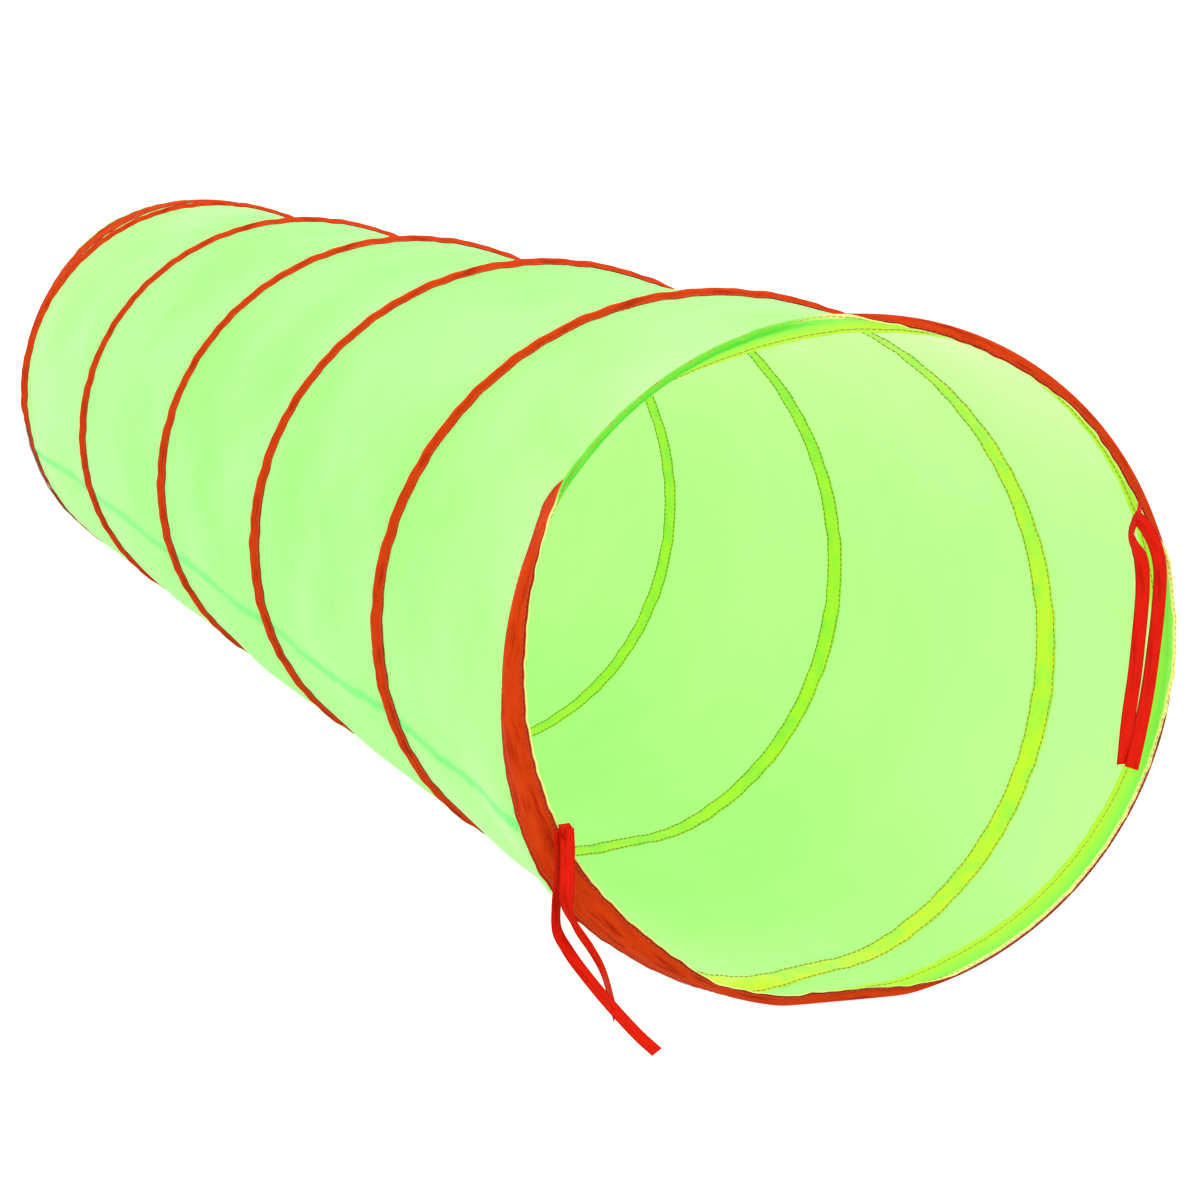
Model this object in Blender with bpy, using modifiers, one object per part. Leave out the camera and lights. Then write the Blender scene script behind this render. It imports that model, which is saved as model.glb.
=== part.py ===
"""Pop-up agility tunnel: a fabric tube on one helix of spring wire, closed into a ring at each end.

The tunnel lies along X with its front mouth at +X. The origin is on the floor under its middle.
Angles round the tunnel are measured from +Y (its right side) towards +Z (its top).
Every body is a station along the wire, one turn apart, and slides along X when the tunnel is pressed flat.
"""

import math

import bmesh
import bpy
from mathutils import Matrix, Vector

# Driving dimensions, in metres.
OUTER_RADIUS = 0.230          # over the crest of the binding tape
PITCHES = (0.354, 0.354, 0.354, 0.390, 0.318)    # length along X of each turn, from the front
FLOOR_SAG = 0.004             # how far the floor presses the round bottom flat
FRONT_LEAN = 0.108            # the front ring's x changes by this much per metre of y
REAR_LEAN = -0.070            # and the rear ring's
CLOSING_POWER = 1.7           # how much faster than an even helix the last turn closes on the rear ring
LEANING_RATE = 1.6            # how much faster than that it takes on the rear ring's lean
WIRE_RADIUS = 0.0012
TAPE_WIDTH = 0.024
FABRIC_THICKNESS = 0.0006
SEAM_WIDTH = 0.008
RIBBON_WIDTH = 0.010
RIBBON_THICKNESS = 0.0008
GAP = 0.0003                  # between neighbouring solids
TRIM_GAP = 0.0009             # between a slanting cut tape end and a mouth binding
WIRE_END_GAP = 0.0007         # between two lengths of the one wire, where it also bends

# Angles, in degrees.
START_ANGLE = -130            # where the helix leaves the front ring and meets the rear ring
SEAM_ANGLE = -160
LEFT_TIE_ANGLE = -155
RIGHT_TIE_ANGLE = 25

# The tunnel is a prism of this many flat faces, so that every layer keeps its gap to the next.
STEPS = 36
STEP_ANGLE = 360 / STEPS
FACE_RATIO = math.cos(math.radians(STEP_ANGLE / 2))

# Radii of the layers, from the outside in.
CREST_RADIUS = OUTER_RADIUS - FABRIC_THICKNESS / 2
WIRE_COIL_RADIUS = 0.2271
FABRIC_RADIUS = 0.2246
TAPE_FOOT_RADIUS = FABRIC_RADIUS + FABRIC_THICKNESS + GAP
HEM_RADIUS = FABRIC_RADIUS - FABRIC_THICKNESS - GAP
SEAM_THICKNESS = 0.0005
SEAM_RADIUS = FABRIC_RADIUS - FABRIC_THICKNESS / 2 - GAP - SEAM_THICKNESS / 2

AXIS_HEIGHT = OUTER_RADIUS - FLOOR_SAG
HALF_TAPE = TAPE_WIDTH / 2
CREST_HALF_WIDTH = 0.0022     # flat top of the tape, over the wire
WALL_FOOT = 0.0045            # where the tape's raised middle comes down to the fabric
LIP = 0.0006                  # how far the mouth binding stands in front of the fabric's edge
LIP_CORNER = 0.0012
TURNS = len(PITCHES)
FRONT_X = (sum(PITCHES) - FRONT_LEAN * OUTER_RADIUS) / 2

# The free end of the wire lies beside the ring inside a crimped sleeve.
WIRE_SPACING = 2 * WIRE_RADIUS + 0.0005
SLEEVE_LENGTH = 0.012
SLEEVE_BORE_RADIUS = WIRE_RADIUS + GAP
SLEEVE_WALL = 0.0004

# The folded middle of a tie ribbon, sewn inside the mouth hem.
TACK_LENGTH = 0.011           # round the hem
TACK_DEPTH = 0.009            # along X
TACK_THICKNESS = 0.0026
TACK_FRONT = HALF_TAPE + LIP + 0.0007
TACK_RADIUS = HEM_RADIUS - FABRIC_THICKNESS / 2 - GAP - TACK_THICKNESS / 2

# Routes of the four ribbon tails, hanging from the tacks, with the way that each one faces at both ends.
RIBBON_POINTS = 25
TIE_TAILS = {
    "left_tie_tail_front": {
        "route": [(0.8667, -0.1985, 0.1370), (0.8680, -0.1960, 0.1180), (0.8695, -0.1945, 0.0980),
                  (0.8706, -0.1885, 0.0800), (0.8718, -0.1785, 0.0560), (0.8731, -0.1700, 0.0320),
                  (0.8740, -0.1650, 0.0100)],
        "faces": ((1.0, 0.0, 0.0), (0.60, 0.80, 0.10)),
    },
    "left_tie_tail_back": {
        "route": [(0.8653, -0.2010, 0.1350), (0.8656, -0.2025, 0.1180), (0.8662, -0.2045, 0.0980),
                  (0.8680, -0.2040, 0.0780), (0.8780, -0.1960, 0.0560), (0.8925, -0.1830, 0.0330),
                  (0.9080, -0.1690, 0.0130), (0.9200, -0.1570, 0.0020)],
        "faces": ((1.0, 0.0, 0.0), (0.62, -0.10, 0.78)),
    },
    "right_tie_tail_inner": {
        "route": [(0.9105, 0.1985, 0.3220), (0.9130, 0.1965, 0.3060), (0.9145, 0.1955, 0.2860),
                  (0.9150, 0.1958, 0.2644), (0.9145, 0.1928, 0.2310), (0.9135, 0.1876, 0.1976),
                  (0.9130, 0.1835, 0.1537)],
        "faces": ((1.0, 0.0, 0.0), (1.0, -0.2, 0.0)),
    },
    "right_tie_tail_outer": {
        "route": [(0.9091, 0.2015, 0.3225), (0.9105, 0.2045, 0.3060), (0.9118, 0.2072, 0.2860),
                  (0.9124, 0.2072, 0.2639), (0.9124, 0.2058, 0.2304), (0.9120, 0.2010, 0.1969),
                  (0.9113, 0.1955, 0.1532)],
        "faces": ((1.0, 0.0, 0.0), (1.0, -0.2, 0.0)),
    },
}

# Colour, roughness and metallic value of each material.
LIME_FABRIC = ((0.44, 1.0, 0.22), 0.65, 0.0)
DARK_LIME_FABRIC = ((0.30, 0.85, 0.10), 0.70, 0.0)
RED_TAPE = ((0.80, 0.07, 0.01), 0.75, 0.0)
RED_RIBBON = ((0.88, 0.04, 0.01), 0.50, 0.0)
SPRING_STEEL = ((0.55, 0.56, 0.58), 0.30, 1.0)
CRIMP_ALUMINIUM = ((0.75, 0.76, 0.78), 0.40, 1.0)


def clear_scene():
    for scene_object in list(bpy.data.objects):
        bpy.data.objects.remove(scene_object, do_unlink=True)


def make_material(name, look):
    colour, roughness, metallic = look
    material = bpy.data.materials.new(name)
    material.use_nodes = True
    shader = material.node_tree.nodes["Principled BSDF"]
    shader.inputs["Base Color"].default_value = (*colour, 1.0)
    shader.inputs["Roughness"].default_value = roughness
    shader.inputs["Metallic"].default_value = metallic
    return material


def add_node(name, data, look, parent):
    """Make one named sub-part on a station's empty."""
    node = bpy.data.objects.new(name, data)
    data.materials.append(make_material(name + "_material", look))
    tunnel_collection.objects.link(node)
    node.parent = parent
    return node


def add_station(name, x):
    """Add the empty that carries every sub-part of one body, on the tunnel's axis."""
    station = bpy.data.objects.new(name, None)
    station.empty_display_size = OUTER_RADIUS / 2
    station.location = (x, 0.0, AXIS_HEIGHT)
    tunnel_collection.objects.link(station)
    return station


def station_x(index):
    """X of a station; station 0 is the front ring and the last one is the rear ring."""
    return FRONT_X - sum(PITCHES[:index])


def pressed(point, radius):
    """Lay the bottom of a round layer flat, as the floor presses it."""
    return Vector((point.x, point.y, max(point.z, FLOOR_SAG - radius)))


def around(x, angle, radius):
    """A point of a layer, in a station's own space."""
    turn = math.radians(angle)
    return pressed(Vector((x, radius * math.cos(turn), radius * math.sin(turn))), radius)


def ring_lean(angle, radius=WIRE_COIL_RADIUS, lean=FRONT_LEAN):
    """How far a leaning ring stands forward at an angle."""
    return lean * radius * math.cos(math.radians(angle))


# Sheets wound round the axis: fabric, tape, bindings and hems.

def wound_sheet(profile, cut_angle=0.0):
    """Spin a profile of (x, radius) points once round the axis.

    A cut angle, in degrees, is left open between the sheet's start and its end."""
    share = 1 - cut_angle / 360
    mesh = bmesh.new()
    first = START_ANGLE + cut_angle / 2
    verts = [mesh.verts.new((x, 0.0, radius)) for x, radius in profile]
    edges = [mesh.edges.new(pair) for pair in zip(verts, verts[1:])]
    # The profile is drawn at the top (90 degrees) and is turned to where the sheet starts.
    from_top = Matrix.Rotation(math.radians(first - 90), 3, "X")
    bmesh.ops.rotate(mesh, verts=verts, cent=(0, 0, 0), matrix=from_top)
    bmesh.ops.spin(mesh, geom=verts + edges, cent=(0, 0, 0), axis=(1, 0, 0), dvec=(0, 0, 0),
                   angle=math.radians(360 * share), steps=STEPS)
    if not cut_angle:
        bmesh.ops.remove_doubles(mesh, verts=mesh.verts, dist=GAP / 10)
    return mesh


def press_sheet(mesh):
    for vert in mesh.verts:
        vert.co = pressed(vert.co, math.hypot(vert.co.y, vert.co.z))


def add_sheet(name, mesh, look, parent):
    """Turn a wound surface into a closed sheet of the fabric's thickness."""
    press_sheet(mesh)
    bmesh.ops.recalc_face_normals(mesh, faces=mesh.faces)
    data = bpy.data.meshes.new(name)
    mesh.to_mesh(data)
    mesh.free()
    node = add_node(name, data, look, parent)
    thicken(node, FABRIC_THICKNESS)
    return node


def thicken(node, thickness):
    solid = node.modifiers.new("Thickness", "SOLIDIFY")
    solid.thickness = thickness
    solid.offset = 0.0
    solid.use_even_offset = True


def lean_with_ring(mesh, lean, is_leaning=lambda vert: True):
    for vert in mesh.verts:
        if is_leaning(vert):
            vert.co.x += lean * vert.co.y


def add_fabric_bay(index, parent):
    """One bay of the fabric tube, from its station's plane to the next one."""
    pitch = PITCHES[index - 1]
    front = -GAP / 2
    rear = -pitch + GAP / 2
    if index == 1:
        front = HALF_TAPE
    if index == TURNS:
        rear = -pitch - HALF_TAPE
    mesh = wound_sheet([(front, FABRIC_RADIUS), (rear, FABRIC_RADIUS)])
    if index == 1:
        lean_with_ring(mesh, FRONT_LEAN, lambda vert: vert.co.x > 0)
    if index == TURNS:
        lean_with_ring(mesh, REAR_LEAN, lambda vert: vert.co.x < -pitch)
    add_sheet(f"fabric_bay_{index}", mesh, LIME_FABRIC, parent)


def add_binding_tape(index, parent):
    """One turn of tape, raised in its middle over the wire and flat on the fabric at both edges."""
    front_half = [
        (HALF_TAPE, TAPE_FOOT_RADIUS),
        (WALL_FOOT, TAPE_FOOT_RADIUS),
        (CREST_HALF_WIDTH, CREST_RADIUS),
    ]
    rear_half = [(-x, radius) for x, radius in reversed(front_half)]
    mesh = wound_sheet(front_half + rear_half, math.degrees(GAP / FABRIC_RADIUS))
    for vert in mesh.verts:
        angle = math.degrees(math.atan2(vert.co.z, vert.co.y))
        vert.co.x += helix_x(index, (angle - START_ANGLE) % 360 / 360)
    if index == 1:
        trim_sheet(mesh, (-HALF_TAPE - TRIM_GAP, 0, 0), (1, -FRONT_LEAN, 0))
    if index == TURNS:
        trim_sheet(mesh, (-PITCHES[-1] + HALF_TAPE + TRIM_GAP, 0, 0), (-1, REAR_LEAN, 0))
    add_sheet(f"binding_tape_{index}", mesh, RED_TAPE, parent)


def trim_sheet(mesh, point, outward):
    """Cut a sheet along a plane and drop what lies on its outward side."""
    geometry = list(mesh.verts) + list(mesh.edges) + list(mesh.faces)
    bmesh.ops.bisect_plane(mesh, geom=geometry, dist=GAP / 100, plane_co=point, plane_no=outward,
                           clear_outer=True)


def add_mouth_binding(name, side, parent):
    """The band over an end ring, turned down over the fabric's edge. Side is 1 in front and -1 behind."""
    lip_x = HALF_TAPE + LIP
    profile = [(-HALF_TAPE, CREST_RADIUS), (lip_x - LIP_CORNER, CREST_RADIUS),
               (lip_x, CREST_RADIUS - LIP_CORNER), (lip_x, HEM_RADIUS)]
    mesh = wound_sheet([(side * x, radius) for x, radius in profile])
    lean_with_ring(mesh, FRONT_LEAN if side > 0 else REAR_LEAN)
    add_sheet(name, mesh, RED_TAPE, parent)


def add_mouth_hem(name, side, parent):
    """The turned-in fabric that closes the wire channel on the inside of a mouth."""
    mesh = wound_sheet([(-side * HALF_TAPE, HEM_RADIUS), (side * (HALF_TAPE - GAP), HEM_RADIUS)])
    lean_with_ring(mesh, FRONT_LEAN if side > 0 else REAR_LEAN)
    add_sheet(name, mesh, DARK_LIME_FABRIC, parent)


# The wire and its crimp sleeves.

def helix_x(index, share):
    """X of the wire, from its station, at a share of a turn.

    The first turn starts on the leaning front ring. The last one closes on the leaning rear ring."""
    pitch = PITCHES[index - 1]
    if index == 1:
        return ring_lean(START_ANGLE) * (1 - share) - pitch * share
    if index == TURNS:
        lean = ring_lean(START_ANGLE + 360 * share, lean=REAR_LEAN)
        return lean * min(1.0, LEANING_RATE * share) - pitch * (1 - (1 - share) ** CLOSING_POWER)
    return -pitch * share


def add_wire(name, points, parent):
    curve = bpy.data.curves.new(name, "CURVE")
    curve.dimensions = "3D"
    curve.bevel_depth = WIRE_RADIUS
    curve.bevel_resolution = 2
    curve.use_fill_caps = True
    spline = curve.splines.new("POLY")
    spline.points.add(len(points) - 1)
    for spline_point, point in zip(spline.points, points):
        spline_point.co = (*point, 1.0)
    return add_node(name, curve, SPRING_STEEL, parent)


def trimmed(points, start_cut, end_cut):
    """Shorten a run of points at its two ends."""
    first = points[0] + (points[1] - points[0]).normalized() * start_cut
    last = points[-1] + (points[-2] - points[-1]).normalized() * end_cut
    return [first] + points[1:-1] + [last]


def add_coil_wire(index, parent):
    """One turn of the helix."""
    points = [around(helix_x(index, step / STEPS), START_ANGLE + step * STEP_ANGLE, WIRE_COIL_RADIUS)
              for step in range(STEPS + 1)]
    add_wire(f"coil_wire_{index}", trimmed(points, WIRE_END_GAP / 2, WIRE_END_GAP / 2), parent)


def side_step(steps_from_free_end):
    """How far the ring wire stands beside its own other end: full for one step, then fading out."""
    fade_steps = 4
    return WIRE_SPACING * max(0.0, min(1.0, 1 - (steps_from_free_end - 1) / fade_steps))


def add_front_ring_wire(parent):
    """A closed ring whose free end lies in front of the stretch that runs on into the helix."""
    points = []
    for step in range(STEPS + 2):
        angle = START_ANGLE - STEP_ANGLE + step * STEP_ANGLE
        points.append(around(ring_lean(angle) + side_step(step), angle, WIRE_COIL_RADIUS))
    add_wire("front_ring_wire", trimmed(points, 0.0, WIRE_END_GAP / 2), parent)


def add_rear_ring_wire(parent):
    """The same at the rear, where the free end lies behind the ring."""
    points = []
    for step in range(STEPS + 2):
        angle = START_ANGLE + step * STEP_ANGLE
        x = ring_lean(angle, lean=REAR_LEAN) - side_step(STEPS + 1 - step)
        points.append(around(x, angle, WIRE_COIL_RADIUS))
    add_wire("rear_ring_wire", trimmed(points, WIRE_END_GAP / 2, 0.0), parent)


def stadium(curve, half_spacing, radius):
    """Add a closed outline with two round ends, one round each wire, to a flat curve."""
    corners = 6
    outline = []
    for side in (1, -1):
        for corner in range(corners + 1):
            turn = math.pi * (corner / corners - 0.5) + (0 if side > 0 else math.pi)
            outline.append((side * half_spacing + radius * math.cos(turn), radius * math.sin(turn)))
    spline = curve.splines.new("POLY")
    spline.points.add(len(outline) - 1)
    for spline_point, (x, y) in zip(spline.points, outline):
        spline_point.co = (x, y, 0.0, 1.0)
    spline.use_cyclic_u = True


def add_crimp_sleeve(name, first, last, parent):
    """A flat sleeve pressed round the two wires, half way between two points of the stretch they share."""
    curve = bpy.data.curves.new(name, "CURVE")
    curve.dimensions = "2D"
    curve.fill_mode = "BOTH"
    curve.extrude = SLEEVE_LENGTH / 2
    stadium(curve, WIRE_SPACING / 2, SLEEVE_BORE_RADIUS + SLEEVE_WALL)
    stadium(curve, WIRE_SPACING / 2, SLEEVE_BORE_RADIUS)
    node = add_node(name, curve, CRIMP_ALUMINIUM, parent)
    along = (last - first).normalized()
    radial = along.cross(Vector((1, 0, 0))).normalized()
    beside = radial.cross(along)
    turned = Matrix((beside, radial, along)).transposed().to_4x4()
    node.matrix_local = Matrix.Translation((first + last) / 2) @ turned


def add_front_crimp_sleeve(parent):
    angles = (START_ANGLE - STEP_ANGLE, START_ANGLE)
    ends = [around(ring_lean(angle) + WIRE_SPACING / 2, angle, WIRE_COIL_RADIUS) for angle in angles]
    add_crimp_sleeve("front_crimp_sleeve", *ends, parent)


def add_rear_crimp_sleeve(parent):
    angles = (START_ANGLE, START_ANGLE + STEP_ANGLE)
    ends = [around(ring_lean(angle, lean=REAR_LEAN) - WIRE_SPACING / 2, angle, WIRE_COIL_RADIUS)
            for angle in angles]
    add_crimp_sleeve("rear_crimp_sleeve", *ends, parent)


# Seams and ties.

def add_plate(name, x_range, angle, radius, width, thickness, look, parent):
    """A flat plate against the middle of one face of the tunnel: x_range along X, width round it."""
    length = x_range[1] - x_range[0]
    middle_x = (x_range[0] + x_range[1]) / 2
    mesh = bmesh.new()
    bmesh.ops.create_cube(mesh, size=1.0, matrix=Matrix.Diagonal((length, thickness, width, 1)))
    bmesh.ops.translate(mesh, verts=mesh.verts, vec=(0, radius * FACE_RATIO, 0))
    data = bpy.data.meshes.new(name)
    mesh.to_mesh(data)
    mesh.free()
    node = add_node(name, data, look, parent)
    node.matrix_local = Matrix.Translation((middle_x, 0, 0)) @ Matrix.Rotation(math.radians(angle), 4, "X")
    return node


def add_side_seam(index, parent):
    """The seam allowance on the inside of one bay; it stops short of the mouth hems."""
    hem_clearance = HALF_TAPE + 4 * GAP
    front = -GAP / 2
    rear = -PITCHES[index - 1] + GAP / 2
    if index == 1:
        front = ring_lean(SEAM_ANGLE, SEAM_RADIUS) - hem_clearance
    if index == TURNS:
        rear = -PITCHES[-1] + ring_lean(SEAM_ANGLE, SEAM_RADIUS, REAR_LEAN) + hem_clearance
    add_plate(f"side_seam_{index}", (rear, front), SEAM_ANGLE, SEAM_RADIUS, SEAM_WIDTH, SEAM_THICKNESS,
              DARK_LIME_FABRIC, parent)


def add_tie_tack(name, angle, parent):
    """The folded middle of a ribbon, sewn flat on the inside of the front hem."""
    front = ring_lean(angle, TACK_RADIUS) + TACK_FRONT
    node = add_plate(name, (front - TACK_DEPTH, front), angle, TACK_RADIUS, TACK_LENGTH, TACK_THICKNESS,
                     RED_RIBBON, parent)
    rounding = node.modifiers.new("Soft edges", "BEVEL")
    rounding.width = TACK_THICKNESS / 5
    rounding.segments = 1


def smooth_route(route, count):
    """Points evenly spread, by route point, on a Catmull-Rom curve through a route."""
    knots = [Vector(point) for point in route]
    knots = [2 * knots[0] - knots[1]] + knots + [2 * knots[-1] - knots[-2]]
    spans = len(route) - 1
    points = []
    for index in range(count):
        position = spans * index / (count - 1)
        span = min(int(position), spans - 1)
        t = position - span
        before, start, end, after = knots[span:span + 4]
        points.append(0.5 * (2 * start + (end - before) * t
                             + (2 * before - 5 * start + 4 * end - after) * t ** 2
                             + (3 * start - before - 3 * end + after) * t ** 3))
    return points


def add_tie_tail(name, route, faces, parent):
    """A flat ribbon along its route. It turns from the way it faces at its top to the way at its foot."""
    points = smooth_route(route, RIBBON_POINTS)
    top_facing, foot_facing = (Vector(facing).normalized() for facing in faces)
    mesh = bmesh.new()
    edge = mesh.edges.new([mesh.verts.new((0, 0, 0)), mesh.verts.new((0, 0, 0))])
    for index, point in enumerate(points):
        if index:
            extruded = bmesh.ops.extrude_edge_only(mesh, edges=[edge])["geom"]
            edge = next(item for item in extruded if isinstance(item, bmesh.types.BMEdge))
        along = points[min(index + 1, len(points) - 1)] - points[max(index - 1, 0)]
        facing = top_facing.lerp(foot_facing, index / (len(points) - 1))
        across = facing.cross(along).normalized() * RIBBON_WIDTH / 2
        edge.verts[0].co = point - across
        edge.verts[1].co = point + across
    bmesh.ops.recalc_face_normals(mesh, faces=mesh.faces)
    data = bpy.data.meshes.new(name)
    mesh.to_mesh(data)
    mesh.free()
    node = add_node(name, data, RED_RIBBON, parent)
    # The route is given from the tunnel's origin and not from the station.
    node.matrix_local = Matrix.Translation(-parent.location)
    thicken(node, RIBBON_THICKNESS)


def add_front_ring(parent):
    add_front_ring_wire(parent)
    add_front_crimp_sleeve(parent)
    add_mouth_hem("front_mouth_hem", 1, parent)
    add_mouth_binding("front_mouth_binding", 1, parent)
    add_tie_tack("left_tie_tack", LEFT_TIE_ANGLE, parent)
    add_tie_tack("right_tie_tack", RIGHT_TIE_ANGLE, parent)
    for name, tail in TIE_TAILS.items():
        add_tie_tail(name, tail["route"], tail["faces"], parent)


def add_bay(index, parent):
    add_fabric_bay(index, parent)
    add_side_seam(index, parent)
    add_coil_wire(index, parent)
    add_binding_tape(index, parent)


def add_rear_ring(parent):
    add_rear_ring_wire(parent)
    add_rear_crimp_sleeve(parent)
    add_mouth_hem("rear_mouth_hem", -1, parent)
    add_mouth_binding("rear_mouth_binding", -1, parent)


clear_scene()
tunnel_collection = bpy.data.collections.new("agility_tunnel")
bpy.context.scene.collection.children.link(tunnel_collection)
stations = [add_station(f"station_{index}", station_x(index)) for index in range(TURNS + 1)]
add_front_ring(stations[0])
for bay in range(1, TURNS + 1):
    add_bay(bay, stations[bay - 1])
add_rear_ring(stations[TURNS])
bpy.context.view_layer.update()
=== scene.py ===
"""The looks of a pop-up agility tunnel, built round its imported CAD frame.

Angles round the tunnel are in degrees, from its right side (+Y) towards its top (+Z).
Each soft piece is a grid of places, worked out from an angle, a place along X and a radius.
"""
import math

import bpy
import numpy as np
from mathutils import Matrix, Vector


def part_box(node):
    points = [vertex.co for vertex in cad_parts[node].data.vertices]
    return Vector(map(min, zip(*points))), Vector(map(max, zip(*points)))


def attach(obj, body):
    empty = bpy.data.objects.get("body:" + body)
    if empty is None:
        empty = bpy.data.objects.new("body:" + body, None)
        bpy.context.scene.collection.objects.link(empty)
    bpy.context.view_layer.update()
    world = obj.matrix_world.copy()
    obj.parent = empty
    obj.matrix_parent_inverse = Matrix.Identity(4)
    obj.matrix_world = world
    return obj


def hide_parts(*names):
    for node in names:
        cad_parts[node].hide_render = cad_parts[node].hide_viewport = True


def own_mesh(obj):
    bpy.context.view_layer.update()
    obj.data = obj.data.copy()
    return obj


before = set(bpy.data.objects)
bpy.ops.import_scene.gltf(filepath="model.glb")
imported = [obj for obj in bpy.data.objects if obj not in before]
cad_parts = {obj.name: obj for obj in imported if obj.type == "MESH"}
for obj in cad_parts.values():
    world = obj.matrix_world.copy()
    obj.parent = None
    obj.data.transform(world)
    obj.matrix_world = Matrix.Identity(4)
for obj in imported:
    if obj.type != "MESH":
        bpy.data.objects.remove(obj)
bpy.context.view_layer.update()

# Sizes that the frame gives, in metres.
TURNS = 5
GAP = 0.0003  # between neighbouring solids of the CAD part
FRONT_X, REAR_X = (sum(corner.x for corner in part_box(f"{end}_mouth_hem")) / 2 for end in ("front", "rear"))
BAY_FRONTS = [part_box(f"fabric_bay_{bay}")[1].x + GAP / 2 for bay in range(2, TURNS + 1)]
STATION_X = [FRONT_X, *BAY_FRONTS, REAR_X]
OUTER_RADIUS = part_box("binding_tape_3")[1].y
AXIS_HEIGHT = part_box("binding_tape_3")[1].z - OUTER_RADIUS

# Sizes that the CAD part and these looks share.
FRONT_LEAN = 0.108  # the front ring's x changes by this much per metre of y
REAR_LEAN = -0.070  # and the rear ring's
CLOSING_POWER = 1.7  # how much faster than an even helix the last turn closes on the rear ring
LEANING_RATE = 1.6  # how much faster than that it takes on the rear ring's lean
START_ANGLE = -130  # where the helix leaves the front ring and meets the rear ring
SEAM_ANGLE = -160
WIRE_RADIUS = 0.0012
WIRE_COIL_RADIUS = 0.2271
FABRIC_RADIUS = 0.2246
TAPE_WIDTH = 0.024
HALF_TAPE = TAPE_WIDTH / 2
WIRE_SPACING = 2 * WIRE_RADIUS + 0.0005
ENDS = {1: "front", -1: "rear"}  # the end rings and their channels, by side

# Cloth.
CLOTH_THICKNESS = 0.0005
FABRIC_SAG = 0.0055  # how far a full panel hangs down between two tapes
FABRIC_BULGE = 0.0005  # and how far it stands out all round
FULL_PANEL = 0.33
FLARE_REACH = 0.13  # how far behind the mouth the fabric follows the rolled channel
FOLDS = [  # swells of loose fabric: height, count per turn, run along X and phase
    (0.0009, 5, 11, 0.3), (0.0007, 8, -19, 1.9), (0.0004, 14, 37, 4.0), (0.0002, 26, -70, 2.2),
]
PUCKER = 0.0006  # waves that the sewing draws up beside a tape
PUCKER_REACH = 0.016
EDGE_WAVE = 0.0006  # unevenness of a stitched edge
CREST_HALF_WIDTH = 0.0016  # of the flat top that a layer has over the wire
WALL_FOOT = 0.0046  # from the wire to where the layer lies flat again
LAYER_GAP = 0.0002  # between a layer and what it lies on
WEAVE_SPACING = 0.0009
STITCH_PITCH = 0.0042
STITCH_LENGTH = 0.0040
THREAD_RADIUS = 0.00038
STITCH_ROW = 0.0103  # from the tape's middle to a row of stitches

# Where the floor presses the round bottom flat.
PRESS_BLEND = 0.0012  # how softly the flat runs into the round
PRESS_REACH = 0.02  # how high the floor is felt

# The lengthwise seam: its way along the tunnel, and the section of its allowance inside.
SEAM_DRIFT = (0.5, 4.5)  # degrees at the origin, and degrees per metre of X
SEAM_WANDER = [(0.7, 21), (0.22, 90), (0.14, 157)]  # degrees, and run along X
SEAM_SECTION = [  # across the seam, and how far inside the middle of the fabric
    (-0.004, 0.0005), (-0.0036, 0.00035), (0.0, 0.0003), (0.003, 0.00035), (0.004, 0.0006),
    (0.004, 0.0012), (0.003, 0.00135), (0.0, 0.00125), (-0.0036, 0.00135), (-0.004, 0.0009),
]
SEAM_HALF_WIDTH = 0.004
SEAM_STEPS = 90

# Meshes.
ROUND_STEPS = 360
BAY_ROWS = 66
TAPE_POINTS = 17
WIRE_SIDES = 8

# How wide a tape lies at an angle, as a share of its full width: less where it is drawn in over the wire.
TAPE_SHARES = [
    (-180, 1.28), (-165, 1.3), (-140, 1.1), (-90, 1.0), (-40, 1.05), (5, 1.22), (50, 1.15),
    (85, 1.0), (98, 0.68), (112, 0.54), (132, 0.46), (152, 0.44), (163, 0.60), (172, 1.00),
]
FIRST_TAPE_SHARES = [
    (-180, 1.10), *TAPE_SHARES[1:7], (85, 0.9), (98, 0.50), (112, 0.42), (130, 0.42), (142, 0.56),
    (165, 0.62), (175, 0.85),
]
FIRST_TAPE_START = 0.04  # share of its turn at which the first tape leaves the front channel
FIRST_TAPE_TAPER = 0.5  # how fast it then widens, in metres per turn
LAST_TAPE_END = 0.97  # share of its turn at which the last tape reaches the rear channel

# How the channel that holds an end ring rolls round it: at an angle, the width that lies in front of the
# wire, and the inward tilts of the part behind the wire and of the part in front of it.
CHANNEL_WIDTH = 0.025
MOUTH_ROLL = [
    (-180, 0.013, -16, 66), (-172, 0.0135, 0, 73), (-164, 0.014, 19, 84), (-156, 0.0135, 44, 82),
    (-148, 0.0125, 76, 80), (-140, 0.013, 72, 80), (-132, 0.013, 39, 70), (-124, 0.0125, 28, 60),
    (-116, 0.012, 20, 28), (-104, 0.011, 10, 45), (-92, 0.0095, 0, 62), (-84, 0.0085, -8, 70),
    (-76, 0.007, -13, 58), (-67, 0.002, -7, 20), (-12, 0.0022, -4, 5), (-4, 0.0034, -3, -40),
    (12, 0.0034, -3, -40), (24, 0.01, -24, 62), (36, 0.011, -20, 62), (45, 0.011, -17, 47),
    (60, 0.0118, -19, 52), (72, 0.0105, -25, 52), (84, 0.009, -45, 40), (90, 0.006, -37, 20),
    (95, 0.0034, -37, -58), (104, 0.0034, -38, -58), (112, 0.0034, -34, -58), (118, 0.0034, -25, -58),
    (124, 0.0034, -17, -58), (130, 0.0036, -15, -60), (137, 0.0038, -17, -62), (143, 0.0038, -28, -62),
    (148, 0.011, 10, -25), (156, 0.0122, -12, 0), (164, 0.0125, -16, 24), (172, 0.013, -20, 46),
]
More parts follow.
